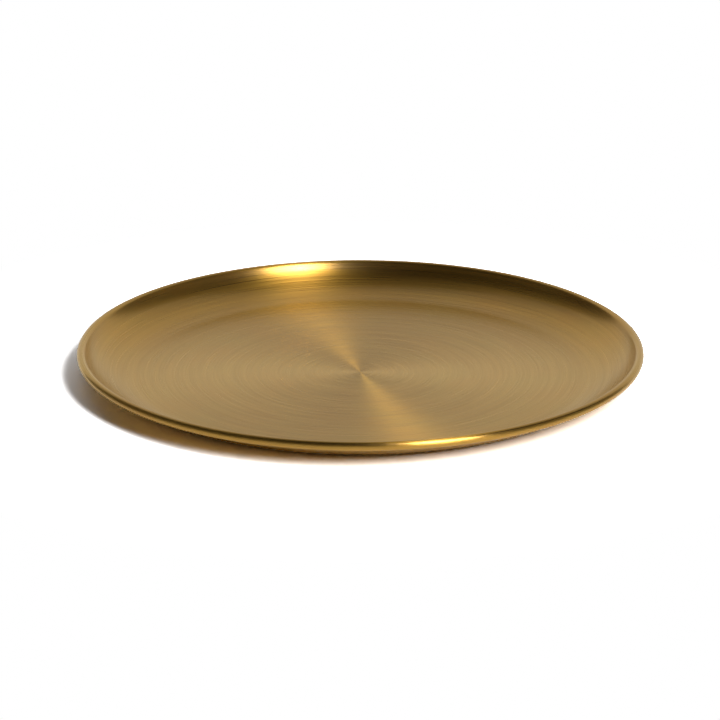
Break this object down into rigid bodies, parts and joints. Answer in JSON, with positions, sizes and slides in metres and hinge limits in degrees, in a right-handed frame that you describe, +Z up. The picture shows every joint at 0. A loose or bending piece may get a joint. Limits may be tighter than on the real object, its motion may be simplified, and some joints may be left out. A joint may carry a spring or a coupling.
{
  "type": "charger plate",
  "caption": "Shallow round brass charger plate with a flat brushed floor, a low curved wall and a rolled rim; set under a dinner plate or used to serve.",
  "frame": {"origin": "under the middle of the flat base, on the surface that the plate stands on", "axes": "+Z up along the axis the plate was spun about; X and Y are alike, the plate being round"},
  "size_m": [0.33, 0.33, 0.017],
  "materials": {
    "brushed_brass": "circular brushed satin",
    "steel_wire": "drawn wire, bare"
  },
  "bodies": {
    "root": {"spun_dish": "brushed_brass", "rim_wire": "steel_wire"}
  },
  "joints": []
}
